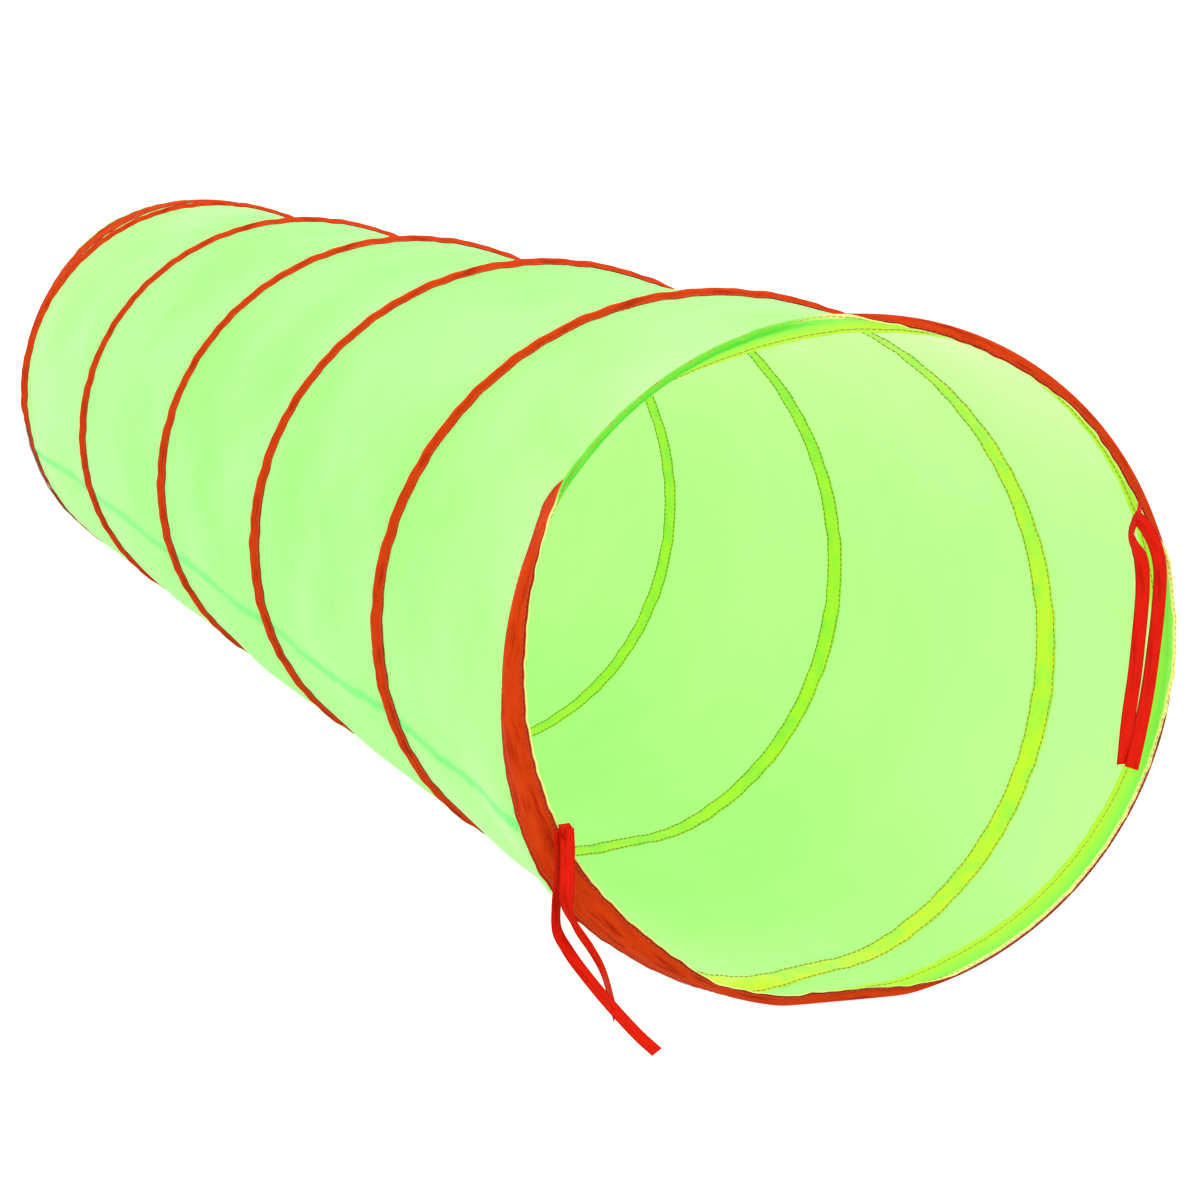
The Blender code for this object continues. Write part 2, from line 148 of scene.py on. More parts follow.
# The hem is given painted shade where this front fold is sharp.
CREASE = (0.36, 0.60)  # where the front fold is sharp, in metres along the ring from its right side
REAR_ROLL = [
    (-180, 0.0125, 2, 24), (-90, 0.0125, 6, 34), (60, 0.0125, 0, 18),
    (120, 0.0125, -6, -20), (150, 0.0125, 0, 10),
]
HEM_LIP_WIDTH = 0.0011  # of the folded front edge that lies over the edge of the tape
BINDING_SETBACK = 0.0014  # from the folded front edge of the fabric to the edge of the tape on it
FLUTTER = 9  # degrees of unevenness in how the front edge tilts
WIRE_OVERLAP = 10  # degrees that the free end of a ring's wire lies beside its other end
WIRE_FADE = 40  # degrees in which the gap between the two then closes
SLEEVE_LENGTH = 0.012
SLEEVE_HALF_HEIGHT = WIRE_RADIUS + 0.0005

# Tie ribbons: the routes of their tails and the way the flat side faces at the top and at the foot.
RIBBON_WIDTH = 0.010
RIBBON_THICKNESS = 0.0007
RIBBON_STEPS = 72
TACK_STEPS = 36
TIE_TAILS = {
    "left_tie_tail_front": {
        "route": [(0.867, -0.194, 0.137), (0.869, -0.1942, 0.1235), (0.87, -0.195, 0.1043),
                  (0.8706, -0.1952, 0.0885), (0.8712, -0.1895, 0.0735), (0.872, -0.1785, 0.056),
                  (0.873, -0.1705, 0.039), (0.874, -0.1632, 0.01)],
        "faces": [(0.0, (1, 0, 0)), (0.36, (1, -0.1, 0)), (0.52, (0.55, 0.82, 0.1)),
                  (1.0, (0.62, 0.78, 0.1))],
        "slant": 0.9,
    },
    "left_tie_tail_back": {
        "route": [(0.8655, -0.1975, 0.135), (0.8655, -0.198, 0.12), (0.866, -0.1995, 0.102),
                  (0.8664, -0.201, 0.087), (0.8675, -0.2009, 0.0714), (0.872, -0.1955, 0.059),
                  (0.879, -0.1897, 0.0485), (0.8925, -0.1774, 0.0301), (0.908, -0.1632, 0.0116),
                  (0.92, -0.1539, 0.0018)],
        "faces": [(0.0, (1, 0.2, 0)), (0.12, (0.82, 0.57, 0)), (0.42, (0.82, 0.57, 0)),
                  (0.56, (0.5, 0.1, 0.86)), (1.0, (0.5, 0.05, 0.86))],
        "slant": 0.0,
    },
    "right_tie_tail_inner": {
        "route": [(0.9085, 0.189, 0.319), (0.9135, 0.1835, 0.316), (0.916, 0.1803, 0.309),
                  (0.916, 0.1842, 0.3), (0.9155, 0.1889, 0.291), (0.915, 0.1911, 0.2705),
                  (0.9147, 0.1895, 0.2386), (0.914, 0.188, 0.2144), (0.9133, 0.1848, 0.1848),
                  (0.913, 0.1828, 0.1544)],
        "faces": [(0.0, (0.8, 0.6, 0)), (0.3, (0.8, 0.6, 0)), (0.45, (1, -0.2, 0)), (1.0, (1, -0.2, 0))],
        "slant": 0.1,
    },
    "right_tie_tail_outer": {
        "route": [(0.9085, 0.1895, 0.3188), (0.91, 0.1962, 0.311), (0.911, 0.2027, 0.2984),
                  (0.9118, 0.206, 0.2823), (0.9122, 0.2053, 0.257), (0.913, 0.2017, 0.2238),
                  (0.914, 0.1975, 0.1972), (0.915, 0.1918, 0.1708), (0.9156, 0.1873, 0.1526)],
        "faces": [(0.0, (0.9, 0.43, 0)), (0.15, (1, 0, 0)), (1.0, (1, -0.2, 0))],
        "slant": -0.1,
    },
}

# Camera.
CAMERA_PLACE = (2.4428, -0.7890, 0.6022)
CAMERA_HEADING = 158.6
CAMERA_TILT = -10.72
CAMERA_LENS = 83.0

# Floor and lights: name, place, size and power of each light.
FLOOR_REACH = 14.0
FLOOR_GLOW = 0.90
WORLD_STRENGTH = 1.2
LIGHTS = [("overhead", (0.2, -0.3, 3.2), 3.5, 80.0), ("front", (3.2, -2.2, 1.9), 2.2, 22.0)]
LIGHT_TARGET = (0.1, 0.0, 0.2)

# Colours, linear.
LIME = (0.34, 0.89, 0.240)
# Painted shade: the deeper green of crumples, which also mottles the yellow tape band and the seam
# allowance.
LIME_DEEP = (0.24, 0.85, 0.130)
LIME_THROUGH = (0.56, 0.96, 0.315)
# Painted light: the yellow of the fabric where light comes through the tape behind it.
LIME_TAPE_LIGHT = (0.80, 0.95, 0.020)
# Painted shade: the deeper green of the seam, where the allowance behind dims the light through the fabric.
LIME_SEAM_SHADE = (0.10, 0.78, 0.12)
# Painted light: the yellow of the hem over the tape.
HEM_NEAR = (0.58, 0.94, 0.060)
HEM_FAR = (0.34, 0.92, 0.120)
# Painted shade: the deeper green in the sharp front fold of the hem.
HEM_CREASE_SHADE = (0.07, 0.70, 0.015)
# Painted highlight: the pale cream of the hem's folded edge.
HEM_LIP_HIGHLIGHT = (0.92, 0.90, 0.300)
RED_TAPE = (0.57, 0.044, 0.0020)
# The darker red of the tape's edges, also used for its painted shade in creases and patches.
RED_TAPE_EDGE = (0.32, 0.012, 0.0008)
RED_THROUGH = (0.90, 0.11, 0.004)
RED_RIBBON = (0.66, 0.010, 0.002)
# The darker red of the ribbon's edges, also used for its painted shade in creases and patches.
RED_RIBBON_EDGE = (0.44, 0.005, 0.001)
THREAD = (0.50, 0.036, 0.002)
THREAD_INSIDE = (0.42, 0.30, 0.02)
FLOOR = (0.35, 0.35, 0.35)


# Small helpers for numbers.

def smooth(share):
    share = np.clip(share, 0.0, 1.0)
    return share * share * (3 - 2 * share)


def ripple(angle, counts, phase=0.0):
    """Unevenness round the tunnel, within -1 to 1, of waves with these counts per turn."""
    turn = np.radians(angle)
    return sum(np.sin(count * turn + phase + 1.7 * count) for count in counts) / len(counts)


def stacked(*parts):
    return np.stack(np.broadcast_arrays(*parts), axis=-1)


def there_and_back(there, back):
    """Loops of points that go out along one surface and come back along the other."""
    return np.concatenate([there, back[:, ::-1]], axis=1)


def place(x, angle, radius):
    """Places in the row frame. The floor presses the round bottom flat, each layer on the one below."""
    turn = np.radians(angle)
    x, y, z = np.broadcast_arrays(x, radius * np.cos(turn), AXIS_HEIGHT + radius * np.sin(turn))
    rest = np.maximum(OUTER_RADIUS - radius, LAYER_GAP)
    pressed = 0.5 * (z + rest + np.sqrt((z - rest) ** 2 + PRESS_BLEND ** 2))
    z = np.where(z < rest + PRESS_REACH, pressed, z)
    return stacked(x, y, z)


# Meshes from grids.

def grid_faces(rows, columns, wrap):
    """Corner indices of the quads of a grid; wrap closes each row on itself."""
    quads = columns if wrap else columns - 1
    row, column = np.meshgrid(np.arange(rows - 1), np.arange(quads), indexing="ij")
    after = (column + 1) % columns
    first = row * columns
    return np.stack([first + column, first + after, first + columns + after, first + columns + column],
                    axis=-1).reshape(-1, 4)


def make_mesh(name, places, faces, corner_cloth, caps=()):
    """A mesh with a map named cloth, in metres of cloth, that weaves and colours are laid by."""
    data = bpy.data.meshes.new(name)
    polygons = faces.tolist() + [list(cap) for cap in caps]
    data.from_pydata(places.reshape(-1, 3).tolist(), [], polygons)
    cloth = data.uv_layers.new(name="cloth")
    values = np.zeros((len(data.loops), 2))
    values[:faces.size] = corner_cloth
    cloth.data.foreach_set("uv", values.ravel())
    data.shade_smooth()
    return data


def sheet_mesh(name, places, cloth, seam_joins=False):
    """An open sheet of one layer. Where the seam joins, its last column is its first one."""
    rows, columns = places.shape[:2]
    faces = grid_faces(rows, columns, False)
    corner_cloth = cloth.reshape(-1, 2)[faces.ravel()]
    if seam_joins:
        places = places[:, :-1]
        faces = (faces // columns) * (columns - 1) + (faces % columns) % (columns - 1)
    return make_mesh(name, places, faces, corner_cloth)


def loft_mesh(name, loops, cloth, ring=False):
    """A closed skin through closed loops of points. A ring's last loop is its first one."""
    count, size = loops.shape[:2]
    faces = grid_faces(count, size, True)
    corner_cloth = cloth.reshape(-1, 2)[faces.ravel()]
    caps = [tuple(range(size - 1, -1, -1)), tuple(range((count - 1) * size, count * size))]
    if ring:
        faces = faces % ((count - 1) * size)
        loops = loops[:-1]
        caps = []
    return make_mesh(name, loops, faces, corner_cloth, caps)


def add_float_attribute(data, name, values):
    attribute = data.attributes.new(name, "FLOAT", "POINT")
    attribute.data.foreach_set("value", values.ravel().astype(np.float32))


def new_object(name, data):
    item = bpy.data.objects.new(name, data)
    bpy.context.scene.collection.objects.link(item)
    return item


def add_piece(name, data, body, material, replaces=(), press=None):
    """Put a mesh on a body, in place of the CAD parts it replaces. A piece given a press joint gets a mesh
    of its own.
    """
    piece = new_object(name, data)
    data.materials.append(material)
    data.set_sharp_from_angle(angle=math.radians(55))
    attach(piece, body)
    if replaces:
        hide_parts(*replaces)
    if press:
        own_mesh(piece)
    return piece


def add_bay_piece(name, data, turn, material, replaces=()):
    body = "front_ring" if turn == 1 else f"turn_{turn}"
    return add_piece(name, data, body, material, replaces, f"press_bay_{turn}")


def add_mouth_piece(side, name, data, material, replaces=()):
    """A piece of a leaning end ring, put on the ring with its bay's press joint."""
    joint, anchor_x = ("press_bay_1", FRONT_X) if side > 0 else (f"press_bay_{TURNS}", REAR_X)
    return add_piece(name, data, f"{ENDS[side]}_ring", material, replaces, joint)


# Materials.

class Nodes:
    """A node material being built, round one Principled shader."""

    def __init__(self, name):
        self.material = bpy.data.materials.new(name)
        self.material.use_nodes = True
        self.tree = self.material.node_tree
        self.shader = self.tree.nodes["Principled BSDF"]
        self.output = self.tree.nodes["Material Output"]

    def add(self, kind, **settings):
        node = self.tree.nodes.new("ShaderNode" + kind)
        for key, value in settings.items():
            setattr(node, key, value)
        return node

    def link(self, source, target):
        self.tree.links.new(source, target)

    def feed(self, socket, value):
        if isinstance(value, bpy.types.NodeSocket):
            self.link(value, socket)
        else:
            socket.default_value = value

    def feed_colour(self, socket, colour):
        self.feed(socket, colour if isinstance(colour, bpy.types.NodeSocket) else (*colour, 1.0))

    def math(self, operation, first, second=0.0):
        node = self.add("Math", operation=operation)
        self.feed(node.inputs[0], first)
        self.feed(node.inputs[1], second)
        return node.outputs[0]

    def mix(self, share, first, second):
        node = self.add("Mix", data_type="RGBA")
        self.feed(node.inputs[0], share)
        self.feed_colour(node.inputs[6], first)
        self.feed_colour(node.inputs[7], second)
        return node.outputs[2]

    def steps(self, value, low, high, from_low=0.0, from_high=1.0):
        """Map a value smoothly from one range to another."""
        node = self.add("MapRange", interpolation_type="SMOOTHSTEP")
        for socket, amount in zip(node.inputs[:5], (value, from_low, from_high, low, high)):
            self.feed(socket, amount)
        return node.outputs[0]

    def object_place(self):
        return self.add("TexCoord").outputs["Object"]

    def cloth_place(self, stretch=(1.0, 1.0, 1.0)):
        mapping = self.add("Mapping")
        mapping.inputs["Scale"].default_value = stretch
        self.link(self.add("UVMap", uv_map="cloth").outputs[0], mapping.inputs[0])
        return mapping.outputs[0]

    def noise(self, where, scale, detail=2.0):
        node = self.add("TexNoise")
        self.link(where, node.inputs["Vector"])
        node.inputs["Scale"].default_value = scale
        node.inputs["Detail"].default_value = detail
        return node.outputs[0]

    def threads(self, where, direction, spacing):
        """Parallel threads, one every spacing."""
        node = self.add("TexWave", bands_direction=direction)
        self.link(where, node.inputs["Vector"])
        node.inputs["Scale"].default_value = math.pi / 10 / spacing
        node.inputs["Distortion"].default_value = 0.15
        return node.outputs[1]

    def weave(self):
        where = self.cloth_place()
        warp = self.threads(where, "X", WEAVE_SPACING)
        weft = self.threads(where, "Y", WEAVE_SPACING)
        return self.math("MAXIMUM", warp, weft)

    def attribute(self, name):
        return self.add("Attribute", attribute_name=name).outputs["Fac"]

    def bump(self, height, distance, below=None):
        node = self.add("Bump")
        node.inputs["Distance"].default_value = distance
        self.link(height, node.inputs["Height"])
        if below is not None:
            self.link(below, node.inputs["Normal"])
        return node.outputs[0]

    def set(self, **values):
        for key, value in values.items():
            self.feed(self.shader.inputs[key.replace("_", " ")], value)

    def let_light_through(self, colour, normal, share):
        """Mix in light that comes through from the other side."""
        translucent = self.add("BsdfTranslucent")
        self.feed_colour(translucent.inputs[0], colour)
        self.link(normal, translucent.inputs["Normal"])
        mixed = self.add("MixShader")
        self.feed(mixed.inputs[0], share)
        self.link(self.shader.outputs[0], mixed.inputs[1])
        self.link(translucent.outputs[0], mixed.inputs[2])
        self.link(mixed.outputs[0], self.output.inputs[0])


def lime_fabric():
    """Thin woven polyester. Painted light makes it yellower over the tape; painted shade darkens its seam
    and cloudy patches.
    """
    nodes = Nodes("lime_fabric")
    where = nodes.object_place()
    # Painted shade: cloudy patches of deeper green stand in for the shading of crumples in the fabric. The
    # same clouds vary the roughness.
    clouds = nodes.noise(where, 6.0, 3.0)
    colour = nodes.mix(nodes.steps(clouds, 0.0, 1.0, 0.35, 0.65), LIME, LIME_DEEP)
    # Painted shade: a wavering line of deeper green along the seam, for the shade of the seam allowance
    # inside, seen through the fabric.
    seam_waver = nodes.math("MULTIPLY", nodes.noise(where, 40.0, 3.0), 0.012)
    seam_distance = nodes.math("ADD", nodes.attribute("seam_distance"), seam_waver)
    colour = nodes.mix(nodes.steps(seam_distance, 0.85, 0.0, 0.007, 0.017), colour, LIME_SEAM_SHADE)
    # Painted light: where the tape lies behind, the fabric is painted yellower, mottled with deeper green,
    # for the light that comes through the tape.
    band = nodes.steps(nodes.attribute("tape_distance"), 1.0, 0.0, HALF_TAPE - 0.0006, HALF_TAPE + 0.0002)
    mottled = nodes.mix(nodes.steps(nodes.noise(where, 60.0), 0.0, 0.45, 0.4, 0.7), LIME_TAPE_LIGHT, LIME_DEEP)
    colour = nodes.mix(band, colour, mottled)
    weave = nodes.weave()
    crumple = nodes.bump(nodes.noise(where, 34.0, 4.0), 0.0012)
    normal = nodes.bump(weave, 0.00004, crumple)
    nodes.set(Base_Color=colour, Roughness=nodes.steps(clouds, 0.50, 0.62, 0.3, 0.7), Normal=normal,
              Sheen_Weight=0.6, Sheen_Roughness=0.4, Specular_IOR_Level=0.2)
    share = nodes.math("SUBTRACT", 0.52, nodes.math("MULTIPLY", band, 0.34))
    nodes.let_light_through(LIME_THROUGH, normal, share)
    return nodes.material


def hem_fabric():
    """The lime fabric inside a channel: yellower over the tape as painted light, deeper green in the fold as
    painted shade, and pale at its edge as a painted highlight.
    """
    nodes = Nodes("hem_fabric")
    where = nodes.object_place()
    across = nodes.add("SeparateXYZ")
    nodes.link(nodes.cloth_place(), across.inputs[0])
    uneven = nodes.math("MULTIPLY", nodes.noise(where, 30.0), 0.010)
    depth = nodes.math("ADD", across.outputs[1], uneven)
    # Painted light: the part over the tape is painted yellower, for the light that comes through the tape.
    colour = nodes.mix(nodes.steps(depth, 0.0, 1.0, -0.004, 0.013), HEM_NEAR, HEM_FAR)
    # Painted highlight: a pale cream line along the folded front edge.
    colour = nodes.mix(nodes.steps(across.outputs[1], 0.0, 0.9, 0.0102, 0.0110), colour, HEM_LIP_HIGHLIGHT)
    # Painted shade: where the front fold is sharp, its far part is painted a deeper green.
    creased = [nodes.steps(across.outputs[0], 0.0, 1.0, CREASE[0], CREASE[0] + 0.05),
               nodes.steps(across.outputs[0], 1.0, 0.0, CREASE[1] - 0.02, CREASE[1])]
    folded = nodes.steps(depth, 0.0, 0.9, 0.006, 0.016)
    crease = nodes.math("MULTIPLY", nodes.math("MULTIPLY", *creased), folded)
    colour = nodes.mix(crease, colour, HEM_CREASE_SHADE)
    normal = nodes.bump(nodes.weave(), 0.00004, nodes.bump(nodes.noise(where, 60.0, 3.0), 0.001))
    nodes.set(Base_Color=colour, Roughness=nodes.steps(uneven, 0.5, 0.65, 0.003, 0.007), Normal=normal,
              Sheen_Weight=0.05, Specular_IOR_Level=0.15)
    nodes.let_light_through(colour, normal, 0.25)
    return nodes.material


def seam_fabric():
    nodes = Nodes("seam_fabric")
    # Painted shade: the seam allowance is coloured a deeper green than the rest of the fabric.
    clouds = nodes.noise(nodes.object_place(), 40.0, 3.0)
    colour = nodes.mix(nodes.steps(clouds, 0.0, 1.0, 0.3, 0.7), LIME_SEAM_SHADE, LIME_DEEP)
    normal = nodes.bump(nodes.weave(), 0.00006)
    nodes.set(Base_Color=colour, Roughness=nodes.steps(clouds, 0.5, 0.65), Normal=normal, Sheen_Weight=0.2)
    nodes.let_light_through(LIME_THROUGH, normal, 0.55)
    return nodes.material


def ribbed_tape(name, colour, edge_colour, half_width, rib, roughness):
    """Woven tape with cross ribs, a fuller colour in its middle, darker towards its edges, and painted shade
    in creases and patches.
    """
    nodes = Nodes(name)
    across = nodes.add("SeparateXYZ")
    nodes.link(nodes.cloth_place(), across.inputs[0])
    from_middle = nodes.math("ABSOLUTE", across.outputs[1])
    # Painted shade: the tape is darkened in patches and in creases, as shade would fall on its folds. The
    # same patches and creases also make bumps, and the patches vary the roughness.
    patches = nodes.noise(nodes.cloth_place((1.0, 3.0, 1.0)), 70.0, 4.0)
    creases = nodes.noise(nodes.cloth_place((0.10, 1.0, 1.0)), 300.0)
    # The colour darkens towards the edges.
    towards_edges = nodes.steps(from_middle, 0.0, 1.0, half_width * 0.72, half_width)
    shade = nodes.mix(towards_edges, colour, edge_colour)
    shade = nodes.mix(nodes.steps(patches, 0.0, 0.30, 0.35, 0.75), shade, edge_colour)
    shade = nodes.mix(nodes.steps(creases, 0.0, 0.8, 0.50, 0.70), shade, edge_colour)
    ribs = nodes.threads(nodes.cloth_place(), "X", rib)
    fibres = nodes.threads(nodes.cloth_place(), "Y", rib * 0.7)
    height = nodes.math("ADD", ribs, nodes.math("MULTIPLY", fibres, 0.4))
    normal = nodes.bump(height, 0.00007, nodes.bump(creases, 0.0012, nodes.bump(patches, 0.0006)))
    patchy_roughness = nodes.steps(patches, roughness - 0.08, roughness + 0.08)
    nodes.set(Base_Color=shade, Roughness=patchy_roughness, Normal=normal, Specular_IOR_Level=0.04)
    nodes.let_light_through(RED_THROUGH, normal, 0.15)
    return nodes.material


def sewing_thread():
    nodes = Nodes("sewing_thread")
    where = nodes.object_place()
    fuzz = nodes.noise(where, 900.0)
    colour = nodes.mix(nodes.attribute("inside"), THREAD, THREAD_INSIDE)
    colour = nodes.mix(nodes.math("MULTIPLY", fuzz, 0.5), colour, RED_TAPE_EDGE)
    nodes.set(Base_Color=colour, Roughness=nodes.steps(fuzz, 0.5, 0.7), Normal=nodes.bump(fuzz, 0.0001),
              Sheen_Weight=0.05)
    return nodes.material


def metal(name, colour, roughness, grain):
    nodes = Nodes(name)
    scratches = nodes.noise(nodes.object_place(), grain, 5.0)
    shade = nodes.mix(scratches, colour, tuple(0.75 * level for level in colour))
    nodes.set(Base_Color=shade, Metallic=1.0, Roughness=nodes.steps(scratches, roughness, roughness + 0.2),
              Normal=nodes.bump(scratches, 0.00005))
    return nodes.material


# The camera, and the floor that the tunnel stands on.

def add_camera():
    data = bpy.data.cameras.new("camera")
    data.lens = CAMERA_LENS
    camera = new_object("camera", data)
    heading, tilt = math.radians(CAMERA_HEADING), math.radians(CAMERA_TILT)
    ahead = Vector((math.cos(tilt) * math.cos(heading), math.cos(tilt) * math.sin(heading), math.sin(tilt)))
    camera.location = CAMERA_PLACE
    camera.rotation_euler = ahead.to_track_quat("-Z", "Y").to_euler()
    bpy.context.scene.camera = camera


# Tie ribbons.

def smooth_route(route, count):
    """Points on a Catmull-Rom curve through a route."""
    knots = np.array(route, float)
    knots = np.vstack([2 * knots[0] - knots[1], knots, 2 * knots[-1] - knots[-2]])
    position = np.linspace(0, len(route) - 1, count)
    span = np.minimum(position.astype(int), len(route) - 2)
    t = (position - span)[:, None]
    before, start, end, after = (knots[span + step] for step in range(4))
    return 0.5 * (2 * start + (end - before) * t + (2 * before - 5 * start + 4 * end - after) * t ** 2
                  + (3 * start - before - 3 * end + after) * t ** 3)


def unit(vectors):
    return vectors / np.linalg.norm(vectors, axis=-1, keepdims=True)


def ribbon_profile():
    """Round the ribbon's section: across from -1 to 1, and out of its flat in metres."""
    half = RIBBON_THICKNESS / 2
    half_side = [(-1.0, 0.35 * half), (-0.96, half), (-0.86, half)]
    side = half_side + [(0.0, 0.85 * half)] + [(-across, out) for across, out in reversed(half_side)]
    return np.array(side + [(across, -out) for across, out in reversed(side)])


def ribbon_mesh(name, points, facing, slant=0.0, width=RIBBON_WIDTH):
    """A flat ribbon along points. A slant cuts its end at an angle."""
    along = unit(np.gradient(points, axis=0))
    across = unit(np.cross(facing, along))
    flat = np.cross(along, across)
    length = np.concatenate([[0.0], np.cumsum(np.linalg.norm(np.diff(points, axis=0), axis=1))])
    profile = ribbon_profile()
    loops = (points[:, None] + across[:, None] * (profile[:, 0] * width / 2)[None, :, None]
             + flat[:, None] * profile[:, 1][None, :, None])
    end_share = smooth((length - length[-1] + width) / width)
    loops -= along[:, None] * (end_share[:, None] * slant * (profile[:, 0] + 1) * width / 2)[:, :, None]
    cloth = stacked(length[:, None], profile[None, :, 0] * width / 2)
    return loft_mesh(name, loops, cloth), length[-1]


def face_along(faces, count):
    """Turn the way a ribbon faces smoothly from one named way to the next."""
    shares = [share for share, _ in faces]
    ways = unit(np.array([way for _, way in faces], float))
    position = np.linspace(0, 1, count)
    return unit(np.stack([np.interp(position, shares, ways[:, axis]) for axis in range(3)], axis=-1))


def add_tie_tails(material):
    for name, tail in TIE_TAILS.items():
        points = smooth_route(tail["route"], RIBBON_STEPS)
        data, length = ribbon_mesh(name, points, face_along(tail["faces"], RIBBON_STEPS), tail["slant"])
        piece = add_piece(name + "_ribbon", data, "front_ring", material, [name])


# Where the wire runs.

def ring_x(side, angle):
    """X of an end ring's wire."""
    middle, lean = (FRONT_X, FRONT_LEAN) if side > 0 else (REAR_X, REAR_LEAN)
    return middle + lean * WIRE_COIL_RADIUS * np.cos(np.radians(angle))


def turn_share(angle):
    """How far round its turn the helix is at an angle, from 0 to 1."""
    return np.mod(angle - START_ANGLE, 360) / 360


def turn_x(turn, share):
    """X of the wire at a share of a turn. The last turn closes on the leaning rear ring."""
    start, end = STATION_X[turn - 1], STATION_X[turn]
    if turn == 1:
        start = ring_x(1, START_ANGLE)
    if turn == TURNS:
        lean = (ring_x(-1, START_ANGLE + 360 * share) - REAR_X) * np.minimum(1.0, LEANING_RATE * share)
        return end + lean + (start - end) * np.maximum(1 - share, 0) ** CLOSING_POWER
    return start + (end - start) * share


def even_out(keys, column, angle, reach):
    """A key column's value at angles, averaged over a reach of angles to each side."""
    keys = np.array(keys, float)
    around = np.asarray(angle)[..., None] + np.linspace(-reach, reach, 7)
    return np.interp(around, keys[:, 0], keys[:, column], period=360).mean(axis=-1)


def half_tape(angle, turn):
    """Half the width of a tape, which is drawn in more at some angles than at others."""
    share = even_out(FIRST_TAPE_SHARES if turn == 1 else TAPE_SHARES, 1, angle, 12)
    return HALF_TAPE * share * (1 + 0.05 * ripple(angle, (5, 9, 14), turn))


def tape_lines(angle):
    """X of every taped line at an angle, from the front ring to the rear ring."""
    share = turn_share(angle)
    turns = [turn_x(turn, share) for turn in range(1, TURNS + 1)]
    return [ring_x(1, angle)] + turns + [ring_x(-1, angle)]


# The channels that hold the end rings.

def channel_section(side, angle, setback=0.0):
    """The middle of a channel's section, from its back edge to its front edge less the setback.

    It gives the way along the cloth, x and radius from the wire, and x and radius of the way out."""
    keys = MOUTH_ROLL if side > 0 else REAR_ROLL
    flap, back_tilt, flap_tilt = (even_out(keys, column, angle, 3) for column in (1, 2, 3))
    flap = flap + EDGE_WAVE * ripple(angle, (43, 71, 113))
    back = CHANNEL_WIDTH - flap
    spread = np.linspace(0, 1, 13) ** 1.4
    behind = -back[:, None] * spread[::-1]
    ahead = np.maximum(flap - setback, 0.0014)[:, None] * spread[1:]
    along = np.concatenate([behind, ahead], axis=1)
    turning = smooth(along / 0.007 + 0.5)
    tilt = np.radians(back_tilt[:, None] + (flap_tilt - back_tilt)[:, None] * turning)
    flutter = np.radians(FLUTTER) * ripple(angle, (31, 53, 89), 0.8)[:, None]
    tilt = tilt + flutter * smooth(along / flap[:, None]) ** 2
    steps = np.diff(along, axis=1)
    half_tilt = (tilt[:, 1:] + tilt[:, :-1]) / 2
    middle = len(spread) - 1
    x = summed_from(middle, steps * np.cos(half_tilt))
    radius = summed_from(middle, -steps * np.sin(half_tilt))
    return along, x, radius, np.sin(tilt), np.cos(tilt)


def summed_from(column, steps):
    """Running sums of each row's steps, which are 0 at a column."""
    sums = np.concatenate([np.zeros((len(steps), 1)), np.cumsum(steps, axis=1)], axis=1)
    return sums - sums[:, column:column + 1]


def channel_edge(side, angle):
    """X and radius of a channel's back edge, where the fabric tube is sewn to it."""
    shape = np.shape(angle)
    flat_angle = np.ravel(angle).astype(float)
    _, x, radius, _, _ = channel_section(side, flat_angle)
    edge_x = ring_x(side, flat_angle) + side * x[:, 0]
    return edge_x.reshape(shape), (WIRE_COIL_RADIUS + radius[:, 0]).reshape(shape)


def beside(side, angle):
    """How far the second of two wires stands from the first at an angle."""
    return wire_spacing(np.mod(side * (angle - START_ANGLE) + WIRE_OVERLAP, 360))


def wire_spacing(from_free_end):
    """How far a ring's wire stands aside at some degrees from its free end."""
    return WIRE_SPACING * (1 - smooth((from_free_end - WIRE_OVERLAP) / WIRE_FADE))


def channel_layer(side, angle, way):
    """One layer of a channel: its binding, way 1, or its hem, way -1, folded over the binding's edge."""
    setback = BINDING_SETBACK if way > 0 else 0.0
    along, x, radius, out_x, out_radius = channel_section(side, angle, setback)
    height = layer_height(side, angle)[:, None]
    near = way * over_wire(along, height, beside(side, angle)[:, None])
    if way < 0:
        near = near + HEM_LIP_WIDTH * smooth(1 - (along[:, -1:] - along) / HEM_LIP_WIDTH)
    surfaces = []
    wire_x = ring_x(side, angle)[:, None]
    for distance in (near + way * CLOTH_THICKNESS, near):
        layer_radius = WIRE_COIL_RADIUS + radius + out_radius * distance
        surfaces.append(place(wire_x + side * (x + out_x * distance), angle[:, None], layer_radius))
    across = along - (along[:, -1:] + along[:, :1]) / 2
    cloth = stacked((np.radians(angle) * WIRE_COIL_RADIUS)[:, None], across)
    return there_and_back(*surfaces), there_and_back(cloth, cloth)


def over_wire(along, height, second_wire=0.0):
    """How far a layer stands off: its height over the wire or over two wires, less beside them."""
    reach = np.maximum(along - second_wire, -along)
    down = smooth((reach - CREST_HALF_WIDTH) / (WALL_FOOT - CREST_HALF_WIDTH))
    return LAYER_GAP + (height - LAYER_GAP) * (1 - down)


def layer_height(side, angle):
    """How far a layer clears the middle of its channel: past the wire, or past the crimp sleeve."""
    from_sleeve = np.mod(side * (angle - START_ANGLE) + WIRE_OVERLAP / 2 + 180, 360) - 180
    over_sleeve = 1 - smooth((np.abs(from_sleeve) - 2) / 6)
    return WIRE_RADIUS + LAYER_GAP + (SLEEVE_HALF_HEIGHT - WIRE_RADIUS) * over_sleeve


